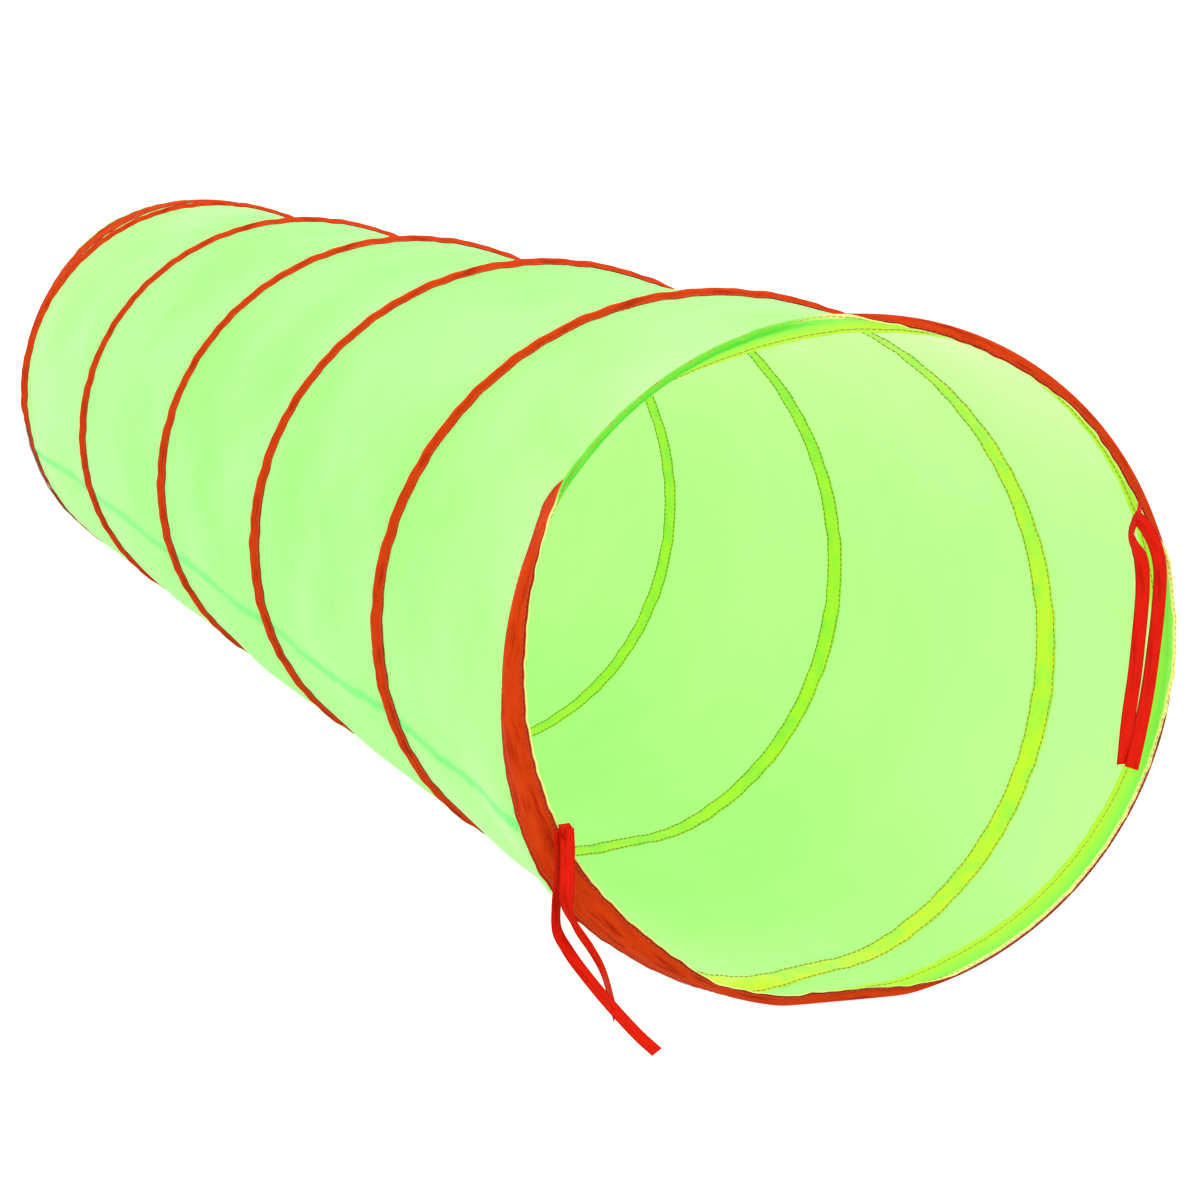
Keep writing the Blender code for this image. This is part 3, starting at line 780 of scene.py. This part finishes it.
def add_mouth(side, tape_material, hem_material, thread_material):
    where = ENDS[side]
    angle = START_ANGLE + np.linspace(0, 360, 2 * ROUND_STEPS + 1)
    layers = [
        (f"{where}_mouth_binding", channel_layer(side, angle, 1), tape_material, "binding_tape"),
        (f"{where}_mouth_hem", channel_layer(side, angle, -1), hem_material, "hem_fabric"),
    ]
    for node, (loops, cloth), material, slot in layers:
        data = loft_mesh(node, loops, cloth, ring=True)
        piece = add_mouth_piece(side, node + "_cloth", data, material, [node])
    data = mouth_stitches(side)
    add_mouth_piece(side, f"{where}_mouth_stitching", data, thread_material)


# Stitches.

def stitch_mesh(name, starts, ends, out, inside):
    """A small spindle of thread from each start to its end, marked if it is inside the tunnel."""
    along = unit(ends - starts)
    out = unit(out)
    side = np.cross(along, out)
    length = np.linalg.norm(ends - starts, axis=1)[:, None]
    rings = []
    for share in (0.22, 0.78):
        centre = starts + along * length * share
        rings += [centre + THREAD_RADIUS * way for way in (out, side, -out, -side)]
    places = np.stack([starts] + rings + [ends], axis=1)
    spindle = [(0, 2, 1), (0, 3, 2), (0, 4, 3), (0, 1, 4)]
    spindle += [(1 + k, 1 + (k + 1) % 4, 5 + (k + 1) % 4, 5 + k) for k in range(4)]
    spindle += [(9, 5 + k, 5 + (k + 1) % 4) for k in range(4)]
    data = bpy.data.meshes.new(name)
    corners = places.shape[1]
    faces = [tuple(corners * stitch + corner for corner in face)
             for stitch in range(len(starts)) for face in spindle]
    data.from_pydata(places.reshape(-1, 3).tolist(), [], faces)
    data.shade_smooth()
    add_float_attribute(data, "inside", np.repeat(inside, corners))
    return data


def join_rows(name, rows):
    """One mesh from rows of stitches: starts, ends, the way out, and 1 for outside or -1 for inside."""
    starts, ends, outs, outsides = zip(*rows)
    inside = np.concatenate([np.full(len(out), float(outside < 0)) for out, outside in zip(outs, outsides)])
    return stitch_mesh(name, np.concatenate(starts), np.concatenate(ends), np.concatenate(outs), inside)


def stitch_shares(radius, outside):
    """Start and end of every stitch round the tunnel, as shares of a turn. The inside ones lie between."""
    length = 2 * math.pi * radius
    count = int(length / STITCH_PITCH)
    first = np.arange(count) / count
    phase = 0.5 * STITCH_PITCH / length * (outside < 0)
    return first + phase, first + STITCH_LENGTH / length + phase


def mouth_stitches(side):
    """A row along each edge of a channel, seen outside and inside."""
    rows = []
    for outside in (1, -1):
        for column in (2, -3):
            row = []
            for share in stitch_shares(WIRE_COIL_RADIUS, outside):
                angle = START_ANGLE + 360 * share
                _, x, radius, out_x, out_radius = (part[:, column] for part in channel_section(side, angle))
                lift = outside * (LAYER_GAP + CLOTH_THICKNESS + THREAD_RADIUS * 0.4)
                row.append(place(ring_x(side, angle) + side * (x + out_x * lift), angle,
                                 WIRE_COIL_RADIUS + radius + out_radius * lift))
            turn = np.radians(angle)
            out = stacked(side * out_x, out_radius * np.cos(turn), out_radius * np.sin(turn))
            rows.append((*row, out, outside))
    return join_rows("mouth_stitches", rows)


def tape_stitches(turn):
    """Two rows along a tape, outside on the tape and inside on the fabric."""
    rows = []
    for outside in (1, -1):
        lift = 0.0004 + CLOTH_THICKNESS if outside > 0 else -CLOTH_THICKNESS / 2 - 0.0001
        for from_middle in (STITCH_ROW, -STITCH_ROW):
            row = []
            for share in stitch_shares(FABRIC_RADIUS, outside):
                angle = START_ANGLE + 360 * share
                x = turn_x(turn, share) + from_middle * half_tape(angle, turn) / HALF_TAPE
                row.append(place(x, angle, fabric_radius(x, angle) + lift))
            first = stitch_shares(FABRIC_RADIUS, 1)[0]
            kept = stitch_is_clear(turn, first, from_middle)
            turn_angle = np.radians(START_ANGLE + 360 * first)
            out = stacked(0.0, np.cos(turn_angle), np.sin(turn_angle))
            rows.append((row[0][kept], row[1][kept], out[kept], outside))
    return join_rows("tape_stitches", rows)


def stitch_is_clear(turn, share, from_middle):
    """Whether a stitch lies clear of both end rings' channels."""
    angle = START_ANGLE + 360 * share
    x = turn_x(turn, share) + from_middle
    front = channel_edge(1, angle)[0] - 0.002
    rear = channel_edge(-1, angle)[0] + 0.002
    return (x < front) & (x > rear)


# The fabric tube.

def panel_slack(x, angle):
    """0 at every tape and up to 1 in the middle of a full panel of fabric."""
    slack = np.zeros(np.broadcast(x, angle).shape)
    lines = tape_lines(angle)
    for ahead, behind in zip(lines, lines[1:]):
        width = np.maximum(ahead - behind - TAPE_WIDTH, 0.004)
        share = np.clip((ahead - HALF_TAPE - x) / width, 0, 1)
        slack = slack + np.minimum(width / FULL_PANEL, 1) ** 1.5 * 4 * share * (1 - share)
    return slack


def tape_distance(x, angle):
    """Distance along X from the nearest helical line, in proportion to how wide its tape lies."""
    lines = tape_lines(angle)[1:-1]
    distances = [np.abs(x - line) / half_tape(angle, turn) for turn, line in enumerate(lines, start=1)]
    return HALF_TAPE * np.min(distances, axis=0)


def fabric_folds(x, angle):
    turn = np.radians(angle)
    return sum(height * np.sin(count * turn + run * x + phase) for height, count, run, phase in FOLDS)


def fabric_pucker(x, angle):
    beyond = np.maximum(tape_distance(x, angle) - HALF_TAPE, 0)
    return PUCKER * np.exp(-beyond / PUCKER_REACH) * ripple(angle, (31, 53, 79), 0.5)


def fabric_radius(x, angle):
    """Radius of the middle of the fabric's thickness."""
    loose = FABRIC_BULGE - FABRIC_SAG * np.sin(np.radians(angle)) + fabric_folds(x, angle)
    radius = FABRIC_RADIUS + panel_slack(x, angle) * loose + fabric_pucker(x, angle)
    lines = tape_lines(angle)
    for side, line in ((1, lines[1]), (-1, lines[-2])):
        edge_x, edge_radius = channel_edge(side, angle)
        reach = np.clip(side * (edge_x - line) - HALF_TAPE, 0.03, FLARE_REACH)
        pull = smooth(1 - side * (edge_x - x) / reach)
        radius = radius + (edge_radius - FABRIC_RADIUS) * pull
    return radius


def seam_angle(x):
    """The lengthwise seam drifts and wanders a little."""
    wander = sum(height * np.sin(run * x) for height, run in SEAM_WANDER)
    return SEAM_ANGLE + SEAM_DRIFT[0] + SEAM_DRIFT[1] * x + wander


def bay_grid(turn):
    """X and angle of a bay's grid. Its columns start and end on the seam."""
    around = np.linspace(0, 360, ROUND_STEPS + 1)
    front = np.full_like(around, STATION_X[turn - 1])
    rear = np.full_like(around, STATION_X[turn])
    if turn == 1:
        front = channel_edge(1, seam_angle(FRONT_X) + around)[0] + 0.001
    if turn == TURNS:
        rear = channel_edge(-1, seam_angle(REAR_X) + around)[0] - 0.001
    share = np.linspace(0, 1, BAY_ROWS + 1)[:, None]
    x = front + (rear - front) * share
    return x, seam_angle(x) + around


def add_fabric_bay(turn, material):
    x, angle = bay_grid(turn)
    places = place(x, angle, fabric_radius(x, angle))
    around = np.radians(angle - seam_angle(x)) * FABRIC_RADIUS
    node = f"fabric_bay_{turn}"
    data = sheet_mesh(node, places, stacked(around, x), seam_joins=True)
    circumference = 2 * math.pi * FABRIC_RADIUS
    seam_distance = np.minimum(around, circumference - around)
    add_float_attribute(data, "seam_distance", seam_distance[:, :-1])
    add_float_attribute(data, "tape_distance", tape_distance(x, angle)[:, :-1])
    piece = add_bay_piece(node + "_cloth", data, turn, material, [node])


def add_side_seam(turn, material):
    """The seam allowance: two edges of the fabric, pressed to one side inside the tube."""
    front, rear = STATION_X[turn - 1], STATION_X[turn]
    if turn == 1:
        front = float(channel_edge(1, SEAM_ANGLE)[0]) - 0.002
    if turn == TURNS:
        rear = ring_x(-1, SEAM_ANGLE) + HALF_TAPE + 0.004
    x = np.linspace(front, rear, SEAM_STEPS)
    across, depth = np.array(SEAM_SECTION).T
    waver = 0.0009 * np.sin(170 * x) + 0.0006 * np.sin(310 * x + 1)
    reach = across[None, :] * (1 + waver[:, None] / SEAM_HALF_WIDTH * (across[None, :] > 0))
    angle = seam_angle(x)[:, None] + np.degrees(reach / FABRIC_RADIUS)
    radius = fabric_radius(x[:, None] + 0 * angle, angle) - depth[None, :]
    loops = place(x[:, None], angle, radius)
    node = f"side_seam_{turn}"
    data = loft_mesh(node, loops, stacked(x[:, None], reach))
    add_bay_piece(node + "_cloth", data, turn, material, [node])


def tape_grid(turn):
    """X and angle of a tape's grid, trimmed to the end channels, and the distance from its middle."""
    first = FIRST_TAPE_START if turn == 1 else 0.0
    last = LAST_TAPE_END if turn == TURNS else 1.0
    share = np.linspace(first, last, 2 * ROUND_STEPS + 1)
    angle = START_ANGLE + 360 * share
    middle = turn_x(turn, share)
    front = middle + half_tape(angle, turn) + EDGE_WAVE * ripple(angle, (13, 23, 41, 67), turn)
    back = middle - half_tape(angle, turn) + EDGE_WAVE * ripple(angle, (11, 19, 37, 73), turn + 2)
    if turn == 1:
        front = np.minimum(front, channel_edge(1, angle)[0] + 0.001)
        back = np.maximum(back, front - 0.002 - FIRST_TAPE_TAPER * (share - first))
    if turn == TURNS:
        back = np.maximum(back, channel_edge(-1, angle)[0] - 0.001)
        front = np.maximum(front, back + 0.002)
    across = 0.5 - 0.5 * np.cos(np.linspace(0, math.pi, TAPE_POINTS))
    across = 0.5 * across + 0.5 * np.linspace(0, 1, TAPE_POINTS)
    x = back[:, None] + (front - back)[:, None] * across
    return x, np.broadcast_to(angle[:, None], x.shape), x - middle[:, None]


def add_binding_tape(turn, material):
    x, angle, from_middle = tape_grid(turn)
    fabric = fabric_radius(x, angle)
    edge = smooth((np.abs(from_middle) / half_tape(angle, turn) - 0.8) / 0.2)
    curl = 0.0002 * edge * (1 + ripple(angle, (59, 83, 127), turn))
    crest = OUTER_RADIUS - CLOTH_THICKNESS - 0.0004 - FABRIC_RADIUS
    under = fabric + over_wire(from_middle, crest) + curl
    loops = there_and_back(place(x, angle, under + CLOTH_THICKNESS), place(x, angle, under))
    cloth = stacked(np.radians(angle) * FABRIC_RADIUS, from_middle)
    node = f"binding_tape_{turn}"
    data = loft_mesh(node, loops, there_and_back(cloth, cloth))
    piece = add_bay_piece(node + "_cloth", data, turn, material, [node])


# The wire.

def wire_mesh(name, points):
    along = unit(np.gradient(points, axis=0))
    side = unit(np.cross(along, np.array([1.0, 0.0, 0.0])))
    other = np.cross(along, side)
    turn = np.linspace(0, 2 * math.pi, WIRE_SIDES, endpoint=False)
    loops = points[:, None] + WIRE_RADIUS * (side[:, None] * np.cos(turn)[None, :, None]
                                             + other[:, None] * np.sin(turn)[None, :, None])
    return loft_mesh(name, loops, np.zeros(loops.shape[:2] + (2,)))


def add_coil_wire(turn, material):
    share = np.linspace(0.0006, 0.9994, ROUND_STEPS)
    angle = START_ANGLE + 360 * share
    x = turn_x(turn, share)
    from_ring = share if turn == 1 else 1 - share if turn == TURNS else np.ones_like(share)
    lift = (fabric_radius(x, angle) - FABRIC_RADIUS) * smooth(from_ring / 0.05)
    node = f"coil_wire_{turn}"
    data = wire_mesh(node, place(x, angle, WIRE_COIL_RADIUS + lift))
    add_bay_piece(node + "_steel", data, turn, material, [node])


def channel_middle(side, angle, shift):
    """Places inside a channel, shifted along its section from the wire towards its front edge."""
    _, _, _, out_x, out_radius = channel_section(side, angle)
    middle = out_x.shape[1] // 2
    x = ring_x(side, angle) + side * shift * out_radius[:, middle]
    return place(x, angle, WIRE_COIL_RADIUS - shift * out_x[:, middle])


def add_ring_wire(side, material):
    """A closed ring whose free end lies beside its other end for a little way."""
    from_free_end = np.linspace(0, 360 + WIRE_OVERLAP, ROUND_STEPS)
    angle = START_ANGLE + side * (from_free_end - WIRE_OVERLAP)
    data = wire_mesh("ring_wire", channel_middle(side, angle, wire_spacing(from_free_end)))
    node = f"{ENDS[side]}_ring_wire"
    add_mouth_piece(side, node + "_steel", data, material, [node])


def add_crimp_sleeve(side, material):
    """A flat sleeve pressed round the two wires, with two dents from the tool."""
    node = f"{ENDS[side]}_crimp_sleeve"
    length = np.linspace(-SLEEVE_LENGTH / 2, SLEEVE_LENGTH / 2, 25)
    angle = START_ANGLE - side * WIRE_OVERLAP / 2 + np.degrees(length / WIRE_COIL_RADIUS)
    middle = channel_middle(side, angle, WIRE_SPACING / 2)
    beside_way = unit(channel_middle(side, angle, WIRE_SPACING) - middle)
    along = unit(np.gradient(middle, axis=0))
    up_way = np.cross(along, beside_way)
    dent = 1 - 0.16 * np.exp(-((np.abs(length) - 0.0028) / 0.0009) ** 2)
    turn = np.linspace(0, 2 * math.pi, 24, endpoint=False)
    half_width = WIRE_SPACING / 2 * np.sign(np.cos(turn)) * (np.abs(np.cos(turn)) > 0.1)
    loops = (middle[:, None]
             + beside_way[:, None] * (half_width + SLEEVE_HALF_HEIGHT * np.cos(turn))[None, :, None]
             + up_way[:, None] * (SLEEVE_HALF_HEIGHT * dent[:, None] * np.sin(turn)[None, :])[:, :, None])
    data = loft_mesh(node, loops, np.zeros(loops.shape[:2] + (2,)))
    add_mouth_piece(side, node + "_metal", data, material, [node])


# The folded tops of the tie ribbons.

def add_tack(name, route, faces, material, width=RIBBON_WIDTH):
    facing = face_along(faces, TACK_STEPS)
    data, _ = ribbon_mesh(name, smooth_route(route, TACK_STEPS), facing, width=width)
    add_piece(name + "_ribbon", data, "front_ring", material, [name])


def add_left_tack(material):
    """The left ribbon comes out from under the hem and folds down over itself."""
    low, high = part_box("left_tie_tack")
    x, y, z = (low + high) / 2
    route = [
        (x - 0.0040, y + 0.0040, z - 0.0040),
        (x + 0.0045, y + 0.0050, z),
        (x + 0.0065, y + 0.0060, z + 0.0040),
        (high.x + 0.0010, y + 0.0062, high.z - 0.0010),
        (high.x + 0.0022, y + 0.0062, z),
        (high.x + 0.0032, y + 0.0062, low.z - 0.0040),
    ]
    faces = [(0.0, (0.3, 0.9, 0.4)), (0.5, (0.6, 0.2, 0.8)), (1.0, (1, 0, 0))]
    add_tack("left_tie_tack", route, faces, material)


def add_right_tack(material):
    """The right ribbon comes out, pinched together, from under the edge of the binding."""
    low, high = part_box("right_tie_tack")
    _, y, z = (low + high) / 2
    route = [
        (high.x - 0.0060, y - 0.0050, high.z + 0.0020),
        (high.x - 0.0010, y - 0.0085, high.z - 0.0010),
        (high.x + 0.0012, y - 0.0105, high.z - 0.0050),
        (high.x + 0.0018, y - 0.0100, z - 0.0020),
    ]
    faces = [(0.0, (0.6, 0.7, 0.3)), (1.0, (0.9, 0.4, 0))]
    add_tack("right_tie_tack", route, faces, material, width=0.006)


# Floor and lights.

def add_floor():
    data = bpy.data.meshes.new("floor")
    corners = [(FLOOR_REACH * x, FLOOR_REACH * y, 0) for x, y in ((-1, -1), (1, -1), (1, 1), (-1, 1))]
    data.from_pydata(corners, [], [(0, 1, 2, 3)])
    floor = new_object("floor", data)
    nodes = Nodes("studio_floor")
    grain = nodes.noise(nodes.object_place(), 3.0)
    colour = nodes.mix(grain, FLOOR, tuple(0.985 * level for level in FLOOR))
    nodes.set(Base_Color=colour, Roughness=nodes.steps(grain, 0.85, 0.95), Specular_IOR_Level=0.1,
              Emission_Color=(1, 1, 1, 1), Emission_Strength=FLOOR_GLOW)
    data.materials.append(nodes.material)


def add_lights():
    world = bpy.data.worlds.new("studio")
    world.use_nodes = True
    background = world.node_tree.nodes["Background"]
    background.inputs[0].default_value = (1.0, 1.0, 1.0, 1.0)
    background.inputs[1].default_value = WORLD_STRENGTH
    bpy.context.scene.world = world
    bpy.context.scene.view_settings.view_transform = "Standard"
    for name, location, size, power in LIGHTS:
        data = bpy.data.lights.new(name, "AREA")
        data.size = size
        data.energy = power
        light = new_object(name, data)
        light.location = location
        ahead = Vector(LIGHT_TARGET) - Vector(location)
        light.rotation_euler = ahead.to_track_quat("-Z", "Y").to_euler()


add_camera()
ribbon = ribbed_tape("tie_ribbon", RED_RIBBON, RED_RIBBON_EDGE, RIBBON_WIDTH / 2, 0.0007, 0.42)
add_tie_tails(ribbon)
add_left_tack(ribbon)
add_right_tack(ribbon)

lime = lime_fabric()
hem = hem_fabric()
seam = seam_fabric()
tape = ribbed_tape("binding_tape", RED_TAPE, RED_TAPE_EDGE, HALF_TAPE, 0.0011, 0.62)
thread = sewing_thread()
steel = metal("spring_steel", (0.55, 0.56, 0.58), 0.25, 300.0)
aluminium = metal("crimp_metal", (0.75, 0.76, 0.78), 0.35, 500.0)

for turn in range(1, TURNS + 1):
    add_coil_wire(turn, steel)
    add_fabric_bay(turn, lime)
    add_side_seam(turn, seam)
    add_binding_tape(turn, tape)
    add_bay_piece(f"tape_stitching_{turn}", tape_stitches(turn), turn, thread)
for side in (1, -1):
    add_ring_wire(side, steel)
    add_crimp_sleeve(side, aluminium)
    add_mouth(side, tape, hem, thread)
add_floor()
add_lights()
